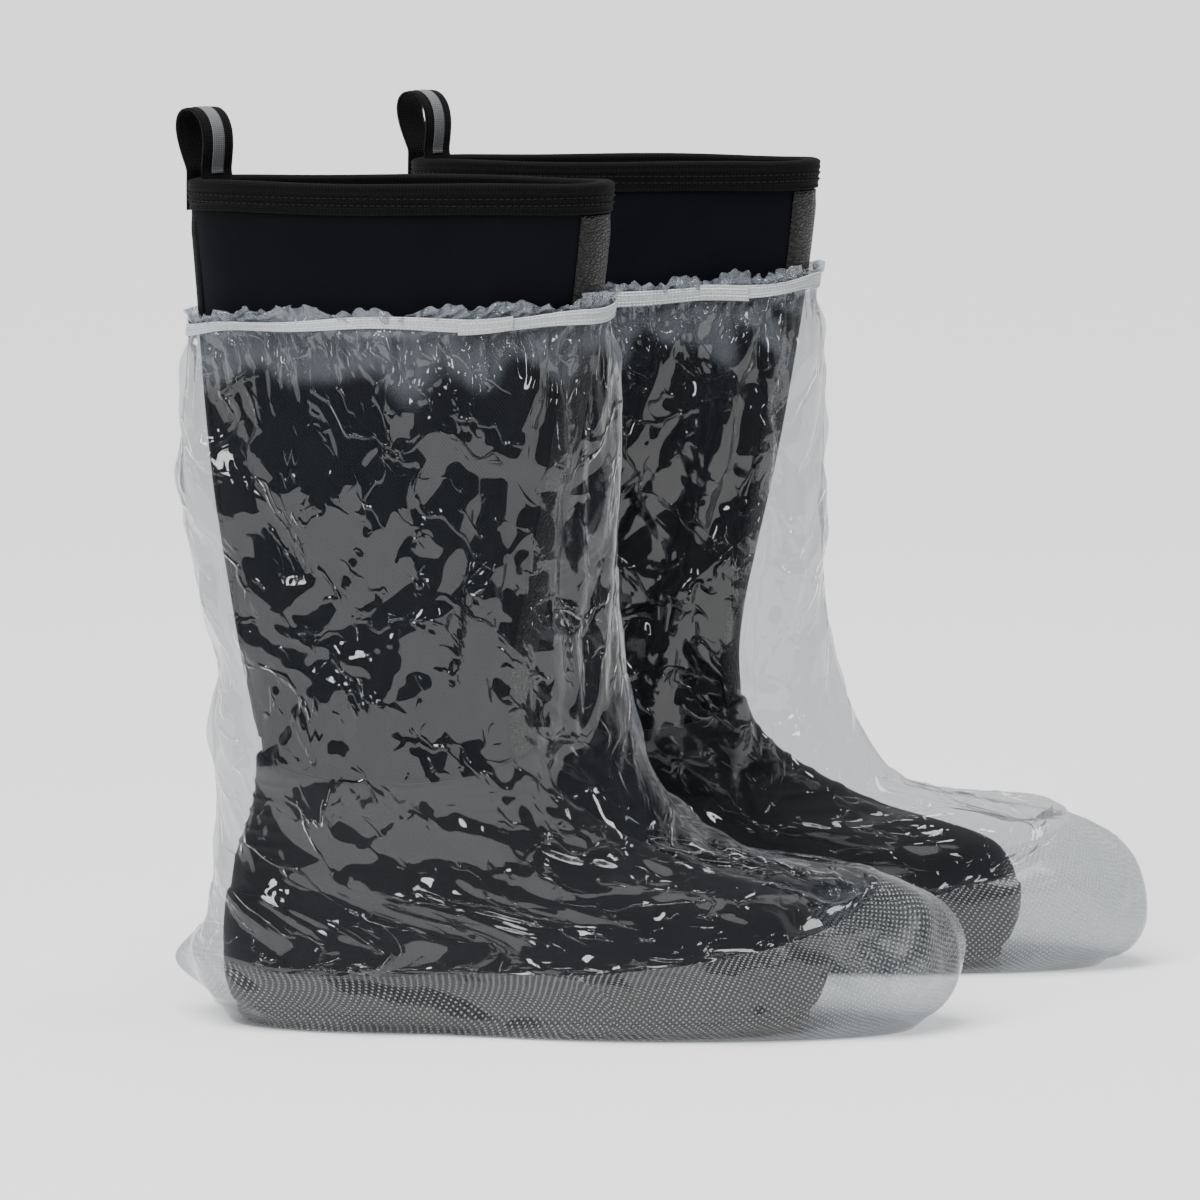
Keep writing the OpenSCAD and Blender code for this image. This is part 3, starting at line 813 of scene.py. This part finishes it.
def half_ring(sign, share, low, high, columns):
    """Points of the bag from the back seam to the front one on one side, evenly spaced, a share of the
    way from one height to another. Both heights are functions of the turn."""
    def height(t):
        return low(t) + share * (high(t) - low(t))
    t = np.linspace(np.pi, 0, 500)
    run = run_along(skin(BAG, height(t), sign * t, 0.0))
    t = np.interp(np.linspace(0, run[-1], columns + 1), run, t)
    return skin(BAG, height(t), sign * t, 0.0)


def film_levels():
    """Shares of the way from the sole sheet to the elastic, evenly spaced along the front edge."""
    v = np.linspace(0, 1, 400)
    z = sheet_top(0.0) + v * (elastic_height(0.0) - sheet_top(0.0))
    edge = np.stack([column(BAG, z, 2), z], -1)
    run = run_along(edge)
    return np.interp(np.linspace(0, run[-1], FILM_ROWS + 1), run, v)


def folds(grid, seed):
    """Long folds that the film falls into: ridges from x, z to x, z, each with a width and a height,
    laid with a little chance to them."""
    x, z = grid[..., 0], grid[..., 2]
    lines = [(-70, 120, 40, 300, 7, 6), (-50, 90, 60, 250, 9, 5), (20, 120, 75, 330, 6, 5),
             (-85, 190, 10, 175, 6, 7), (60, 100, 85, 300, 5, 5), (-20, 200, 30, 330, 8, 4), (-90, 300, -30, 210, 7, 4)]
    rng = np.random.default_rng(seed)
    lift = np.zeros(x.shape)
    for x0, z0, x1, z1, width, height in lines:
        jig = rng.uniform(-14, 14, 4)
        a, b = np.array([x0 + jig[0], z0 + jig[1]]), np.array([x1 + jig[2], z1 + jig[3]])
        way = (b - a) / np.linalg.norm(b - a)
        dx, dz = x - a[0], z - a[1]
        s = (dx * way[0] + dz * way[1]) / np.linalg.norm(b - a)
        across = -dx * way[1] + dz * way[0]
        rise = height * rng.choice([-0.6, 1.0]) * bump(across, 0, width)
        lift += rise * smooth(-0.1, 0.15, s) * smooth(1.1, 0.85, s)
    return lift + 1.5 * noise(grid, seed + 5, 80)


def collider():
    """The boot as the film meets it."""
    z = np.linspace(8, RIM - 20, 70)[:, None]
    t = np.linspace(0, 2 * np.pi, 72, endpoint=False)[None, :]
    off = 3.6 * smooth(150, 120, z) + 1.8 * smooth(120, 150, z)
    grid = skin(LAST, z, t, off)
    obj = piece("boot_form", grid * MM, grid_faces(70, 72, True), closed=False)
    obj.modifiers.new("hit", "COLLISION")
    obj.collision.thickness_outer = 0.0012
    obj.collision.damping = 0.6
    obj.collision.cloth_friction = 12
    return obj


def drop_film(grid, rest, held):
    """Lets a closed tube of film (rows by columns, millimetres) fall on the boot from its start, with
    the rest shape's lengths and the held points kept, and returns its points."""
    rows, cols = grid.shape[:2]
    film = piece("film_tube", grid * MM, grid_faces(rows, cols, True), closed=False)
    film.shape_key_add(name="start")
    key = film.shape_key_add(name="rest")
    key.data.foreach_set("co", (rest * MM).astype(np.float32).ravel())
    group = film.vertex_groups.new(name="held")
    group.add(np.flatnonzero(held).tolist(), 1.0, "REPLACE")
    form = collider()
    cloth = film.modifiers.new("cloth", "CLOTH")
    s = cloth.settings
    s.quality, s.mass, s.air_damping = 5, 0.02, 1.5
    s.tension_stiffness = s.compression_stiffness = 25
    s.shear_stiffness, s.bending_stiffness = 12, 0.04
    s.tension_damping = s.compression_damping = s.shear_damping = 8
    s.vertex_group_mass = "held"
    s.pin_stiffness = 1.0
    s.rest_shape_key = film.data.shape_keys.key_blocks["rest"]
    c = cloth.collision_settings
    c.use_collision, c.collision_quality, c.distance_min, c.use_self_collision = True, 2, 0.0012, False
    cloth.point_cache.frame_start, cloth.point_cache.frame_end = 1, FALL_FRAMES
    scene = bpy.context.scene
    for frame_number in range(1, FALL_FRAMES + 1):
        scene.frame_set(frame_number)
    shape = film.evaluated_get(bpy.context.evaluated_depsgraph_get()).to_mesh()
    fallen = np.zeros(len(shape.vertices) * 3, np.float32)
    shape.vertices.foreach_get("co", fallen)
    for obj in (film, form):
        bpy.data.objects.remove(obj)
    scene.frame_set(1)
    return fallen.reshape(rows, cols, 3).astype(float) / MM


def finer(grid, factor, wrap=False):
    """A grid with factor times the steps along its rows and its columns, by Catmull-Rom curves."""
    for axis in (0, 1):
        g = np.moveaxis(grid, axis, 0)
        n = len(g)
        if wrap and axis == 1:
            at = np.arange(n * factor) / factor
            k = at.astype(int)
            idx = [(k + d) % n for d in (-1, 0, 1, 2)]
        else:
            at = np.linspace(0, n - 1, (n - 1) * factor + 1)
            k = np.minimum(at.astype(int), n - 2)
            idx = [np.clip(k + d, 0, n - 1) for d in (-1, 0, 1, 2)]
        s = (at - k).reshape(-1, *([1] * (g.ndim - 1)))
        a, b, c, d = (g[i] for i in idx)
        g = b + 0.5 * s * (c - a + s * (2 * a - 5 * b + 4 * c - d + s * (3 * (b - c) + d - a)))
        grid = np.moveaxis(g, 0, axis)
    return grid


def normals(grid, wrap=False):
    """Unit normals of a grid, from the cross product of its two ways."""
    if wrap:
        along = np.roll(grid, -1, 1) - np.roll(grid, 1, 1)
    else:
        along = np.gradient(grid, axis=1)
    return unit(np.cross(along, np.gradient(grid, axis=0)))


def outwards(n, grid, middle):
    """Normals, each turned away from a middle."""
    return n * np.sign(((grid - middle) * n).sum(-1, keepdims=True) + 1e-9)


def facets(uv, seed, sizes, slope, waves=9):
    """Film pulled flat between its folds: triangle waves in random directions, bent by noise and each
    kept to patches, so that flat facets meet in edges. sizes are the shortest and the longest wave in millimetres."""
    rng = np.random.default_rng(seed)
    total = np.zeros(uv.shape[:2])
    bend = np.stack([noise(uv, seed + 1, 150), noise(uv, seed + 2, 150)], -1) * 14
    for _ in range(waves):
        size = sizes[0] * (sizes[1] / sizes[0]) ** rng.uniform()
        turn = rng.uniform(0, np.pi)
        at = ((uv + bend) @ np.array([math.cos(turn), math.sin(turn)])) / size + rng.uniform(0, 9)
        wave = 2 * np.sqrt((np.mod(at, 1) - 0.5) ** 2 + 0.0003)
        total += wave * slope * size / 2 * smooth(-0.1, 0.5, noise(uv, int(rng.integers(1e6)), 110))
    return total - total.mean()


def creases(uv, lines):
    """Sharp creases: each of the lines (from, to, bend, height, width) lifts the film by height times
    exp(-distance / width) from its bent middle line, three times as wide on one side as on the other,
    and fades out at its ends."""
    lift = np.zeros(uv.shape[:2])
    for start, end, bend, height, width in lines:
        way = end - start
        long = np.linalg.norm(way)
        way = way / long
        away = uv - (start + end) / 2
        s = (away @ way) / (long / 2)
        across = away @ np.array([-way[1], way[0]]) - bend * (1 - s**2)
        near = np.maximum(0, 1 - s**2) ** 1.3
        lift += height * near * np.exp(-np.sqrt(across**2 + 0.16) / (width * np.where(across > 0, 2.4, 0.8)))
    return lift


def random_lines(seed, count, low, high, lengths, heights, widths, lean):
    """Creases strewn between two corners of the flat film, most of them leaning about lean from level."""
    rng = np.random.default_rng(seed)
    made = []
    for _ in range(count):
        middle = rng.uniform(low, high)
        long = lengths[0] * (lengths[1] / lengths[0]) ** rng.uniform()
        turn = lean + rng.normal() * 0.4
        half = np.array([math.cos(turn), math.sin(turn)]) * long / 2
        height = rng.uniform(*heights) * rng.choice([-1.0, 1.0])
        made.append((middle - half, middle + half, rng.normal() * long * 0.1, height, rng.uniform(*widths)))
    return made


# Long folds seen from a boot's side, as from x, z to x, z, bend, height and width.
LONG_FOLDS = [
    (-76, 138, -22, 128, -3, 3.4, 7), (-30, 125, 16, 152, 2, 2.6, 5), (33, 134, 80, 136, 2, 2.2, 5),
    (84, 246, -14, 176, 8, 4.2, 10), (-84, 280, -48, 244, -3, 2.8, 6), (-70, 172, 64, 262, -9, -3.0, 12),
    (-42, 306, -20, 196, 9, 2.6, 7), (30, 318, 66, 170, -7, 3.2, 8), (86, 318, 92, 150, 4, 3.6, 6),
    (-92, 120, -66, 62, 3, 3.0, 7), (-60, 60, 20, 96, 6, 2.8, 9), (70, 120, 150, 78, -6, 3.2, 8),
    (98, 96, 210, 64, -4, 2.6, 7), (-96, 226, -70, 168, -4, 3.2, 8), (4, 90, 78, 62, 5, -2.6, 10)]


def long_folds(grid, seed):
    """The table's folds on one panel, each moved, bent and raised a little by chance."""
    rng = np.random.default_rng(seed)
    lines = []
    for x0, z0, x1, z1, bend, height, width in LONG_FOLDS:
        jig = rng.normal(size=4) * 5
        lines.append((np.array([x0 + jig[0], z0 + jig[1]]), np.array([x1 + jig[2], z1 + jig[3]]),
                      bend * rng.uniform(0.6, 1.4), height * rng.uniform(0.7, 1.2), width))
    return creases(grid[..., [0, 2]], lines)


def cover(side):
    """The film tube of one cover: laid out on the bag, let fall on the boot, and finished as two panels."""
    seed = 21 if side == "right" else 57
    outer, inner = (np.stack([half_ring(sign, v, sheet_top, elastic_height, HALF_COLUMNS)
                              for v in film_levels()]) for sign in (-1, 1))
    # One closed tube: the outer panel from the back seam to the front one, then the inner panel back.
    tube = np.concatenate([outer, inner[:, -2:0:-1]], 1)
    v = film_levels()[:, None]
    from_seams = fade(HALF_COLUMNS + 1, 5)
    free = smooth(0, 0.12, v) * smooth(1, 0.93, v) * np.concatenate([from_seams, from_seams[1:-1]])
    out = outwards(normals(tube, True), tube, tube.mean(1, keepdims=True))
    start = tube + (folds(tube, seed) * free)[..., None] * out
    # The rest shape is larger by these shares front to back, across and in height, for slack to fall with.
    slack = 0.13 * smooth(0, 0.2, v) * smooth(1.0, 0.85, v)
    rest = start * np.stack(np.broadcast_arrays(1 + 0.25 * slack, 1 + 2.2 * slack, 1.045), -1)
    held = np.zeros(tube.shape[:2])
    held[[0, -1]] = 1
    held[:, [0, HALF_COLUMNS]] = 1
    fallen = drop_film(start, rest, held)
    panel(side, "outer", fallen[:, :HALF_COLUMNS + 1], seed)
    panel(side, "inner", np.concatenate([fallen[:, HALF_COLUMNS:], fallen[:, :1]], 1), seed)


def mark_gathered(obj, share):
    """Writes how much film lies together at each point: 0 for one smooth layer, 1 for a crushed heap."""
    layer = obj.data.attributes.new("gathered", "FLOAT", "POINT")
    layer.data.foreach_set("value", share.ravel().astype(np.float32))


def panel(side, name, half, seed):
    """A side panel from its fallen shape: made finer, creased, gathered below the elastic, ruffled above
    it, and with the seam's margin along its last edge."""
    own = seed + (7 if name == "inner" else 0)
    lean = 1.05 if name == "outer" else math.pi - 1.05
    grid = finer(half, 4)
    uv = flat_uv(grid)
    n = normals(grid)
    edge = fade(grid.shape[1], 10)
    v = np.linspace(0, 1, grid.shape[0])[:, None]
    low, high = uv.reshape(-1, 2).min(0), uv.reshape(-1, 2).max(0)
    foot, collar = np.array([high[0], 120]), np.array([low[0], high[1] - 75])
    # Creases all over, and more where the film is most crushed: over the foot and just below the elastic.
    lines = (random_lines(own + 1, 30, low, high, (25, 110), (0.6, 1.7), (2.4, 4.6), lean)
             + random_lines(own + 2, 16, low, foot, (30, 90), (0.7, 1.8), (2.4, 4.6), lean)
             + random_lines(own + 3, 24, collar, high, (15, 55), (0.4, 1.0), (1.8, 3.2), 1.4))
    crease = facets(uv, own + 4, (60, 170), 0.045, 6) + long_folds(grid, own + 5) + creases(uv, lines)
    gather = smooth(0.84, 1.0, v) ** 1.6
    wave = sum(a * np.sin(uv[..., 0] * 2 * np.pi / w + p + 0.8 * noise(uv, seed + k, 40))
               for k, (a, w, p) in enumerate(((1.0, 7.5, 0), (0.8, 11.5, 1), (0.5, 5.2, 2))))
    under = uv[-1:, :, 1] - uv[..., 1]
    wave *= 1 - 0.75 * bump(under, 0, 4)
    crushed = facets(uv, own + 6, (5, 15), 0.22, 12) * smooth(32, 8, under) * smooth(1, 4, under)
    lift = crease * (1 - 0.6 * gather) * edge * smooth(0, 0.03, v) + (gather * wave + crushed) * edge
    grid = grid + lift[..., None] * n
    grid = np.concatenate([grid, ruffle(grid, n, uv, seed)], 0)
    uv = flat_uv(grid)
    fin = seam_fin(side, "front_seam" if name == "outer" else "back_seam", grid[:, -1],
                   levelled(grid[:, -1] - grid[:, -8]))
    faces = grid_faces(*grid.shape[:2], flip=(side == "left"))
    made = piece(f"{side}_film_{name}", place(side, grid), faces, uv, closed=False)
    gathered = np.ones(grid.shape[:2])
    swag = under + 9 * noise(uv[:len(v)] * [1, 0.3], own + 9, 34)
    gathered[:len(v)] = np.maximum(smooth(0.975, 1.0, v), 0.42 * smooth(30, 16, swag))
    mark_gathered(made, gathered)
    finish_piece(made, "film", "clear_film", f"{side}_cover", f"{side}_cover_{name}_panel")


def seam_fin(side, name, line, outward):
    """The welded margin that stands out along a side seam: five columns, 4 mm wide, that waver and dip a
    little."""
    run = run_along(line)
    w = np.linspace(0, 1, 5)[None, :]
    sway = (0.9 * np.sin(run / 9) + 0.5 * np.sin(run / 4.1 + 1))[:, None] * w
    wide = 4 + 0.5 * np.sin(run / 13)[:, None]
    across = np.stack([-outward[:, 1], outward[:, 0], np.zeros(len(line))], -1)
    grid = line[:, None] + (w * wide)[..., None] * outward[:, None] + sway[..., None] * across[:, None]
    uv = np.stack(np.broadcast_arrays(run[:, None], w * 4), -1)
    made = piece(f"{side}_{name}", place(side, grid), grid_faces(*grid.shape[:2]), uv, closed=False)
    mark_gathered(made, np.full(grid.shape[:2], 0.5))
    return finish_piece(made, "film", "clear_film", f"{side}_cover")


def ruffle(grid, n, uv, seed):
    """The film above the elastic: rows that rise from the last one, leaning out and frilled more towards
    the edge."""
    last = grid[-1]
    steps = np.linspace(0, 1, 13)[1:, None]
    x = uv[-1:, :, 0]
    line = np.stack([x[0], np.zeros_like(x[0])], -1)
    frill = (1.5 * np.sin(x * 2 * np.pi / 7.5 + 1.6 * noise(line, seed + 3, 30))
             + 1.0 * np.sin(x * 2 * np.pi / 4.3 + 2) + 1.1 * noise(line, seed + 4, 9))
    top = RUFFLE * (0.85 + 0.2 * noise(line, seed + 8, 22) + 0.13 * noise(line, seed + 9, 6))
    level = n[-1] * (1 - UP)
    rows = last + (steps * (1.2 + frill * steps))[..., None] * level
    rows[..., 2] = last[:, 2] + steps * top
    flat = np.stack(np.broadcast_arrays(x, steps * RUFFLE), -1)
    crushed = facets(flat, seed + 12, (3.5, 9), 0.5, 12) * smooth(0.1, 0.4, steps)
    return rows + crushed[..., None] * level


def sole_sheet(side):
    """The heavier sheet under and round the foot: across it runs up the outer wall, under the foot and
    up the inner wall."""
    seed = 91 if side == "right" else 133
    wall, under, lowest = 26, 22, 0.45
    halves = []
    for sign in (-1, 1):
        rows = [half_ring(sign, s, lambda t: lowest, sheet_top, HALF_COLUMNS * 4)
                for s in np.linspace(1, 0, wall + 1)]
        mid = rows[wall].copy()
        mid[:, 1] = swing(mid[:, 0], 0.0)
        rows += [rows[wall] * (1 - s) + mid * s for s in np.linspace(0, 1, under + 1)[1:]]
        halves.append(np.stack(rows))
    grid = np.concatenate([halves[0], halves[1][-2::-1]])
    uv = flat_uv(grid)
    n = outwards(normals(grid), grid, np.array([60, 0, 60.0]))
    free = smooth(1.5, 12, grid[..., 2]) * fade(grid.shape[1], 10) * fade(len(grid), 4)[:, None]
    grid = grid + ((facets(uv, seed, (24, 80), 0.09) + 1.2 * noise(grid, seed + 3, 60)) * free)[..., None] * n
    # Its heel end is folded flat into a corner that stands out behind.
    corner = bump(uv[..., 0], uv[:, :1, 0], 17) * bump(grid[..., 2], 25, 13)
    grid[..., 0] -= 12 * corner
    grid[..., 1] *= 1 - 0.75 * corner
    faces = grid_faces(*grid.shape[:2], flip=(side == "right"))
    made = piece(f"{side}_sole_sheet", place(side, grid), faces, uv, closed=False, merge=1e-6)
    finish_piece(made, "sole_film", "embossed_film", f"{side}_cover", f"{side}_cover_sole")


def ribbon(side, name, t, wrap, out, wide, tilt):
    """A knitted ribbon along turns t of the bag: a profile with four ribs, its edges notched by the
    overlocking, that sways a little on its way."""
    path = skin(BAG, elastic_height(t), t, out)
    path[:, 2] = elastic_height(t) + tilt * (t - t.mean())
    run = run_along(path)
    outward = levelled(skin(BAG, elastic_height(t), t, out + 1) - path)
    w = np.linspace(-0.5, 0.5, 19)
    width = wide * (1 + 0.1 * np.sin(4 * t + 2) + 0.05 * np.sin(9 * t))
    if side == "right":  # rolled narrower behind the lap
        width *= 1 - 0.36 * bump(np.mod(t, 2 * np.pi), 4.15, 0.75)
    notch = 0.55 * np.abs(np.mod(run / 1.5, 1) - 0.5)
    rib = 0.2 * np.cos(2 * np.pi * w * 4.5)
    grids = []
    for off in (0.55, -0.25):
        heights = w[None, :] * (width + notch)[:, None]
        depth = off + (rib * np.sign(off))[None, :] - 0.25 * (2 * w[None, :]) ** 4 * np.sign(off)
        lean = 0.45 * np.sin(5 * t + 1)[:, None] * w[None, :] * 2
        grids.append(path[:, None] + (depth + lean)[..., None] * outward[:, None] + heights[..., None] * UP)
    outer, inner = (np.moveaxis(g, 1, 0) for g in grids)
    uv = np.stack(np.broadcast_arrays(run[None, :], (w * wide)[:, None]), -1)
    return shell_piece(side, name, outer, inner, wrap, uv)


def elastic(side):
    """The ribbon round the cover, and its end lapped over its start, on the outer side of the right
    cover."""
    turns = np.linspace(0, 2 * np.pi, 1400, endpoint=False)
    made = ribbon(side, "elastic_band", turns, True, 1.5, ELASTIC_WIDE, 0)
    finish_piece(made, "elastic", "knit_elastic", f"{side}_cover", f"{side}_cover_elastic")
    middle = math.radians(-62 if side == "right" else 58)
    lap = ribbon(side, "elastic_lap", middle + np.linspace(-0.15, 0.13, 60), False, 2.45, 7.6, 5)
    finish_piece(lap, "elastic", "knit_elastic", f"{side}_cover")


for side in SIDES:
    cover(side)
    sole_sheet(side)
    elastic(side)
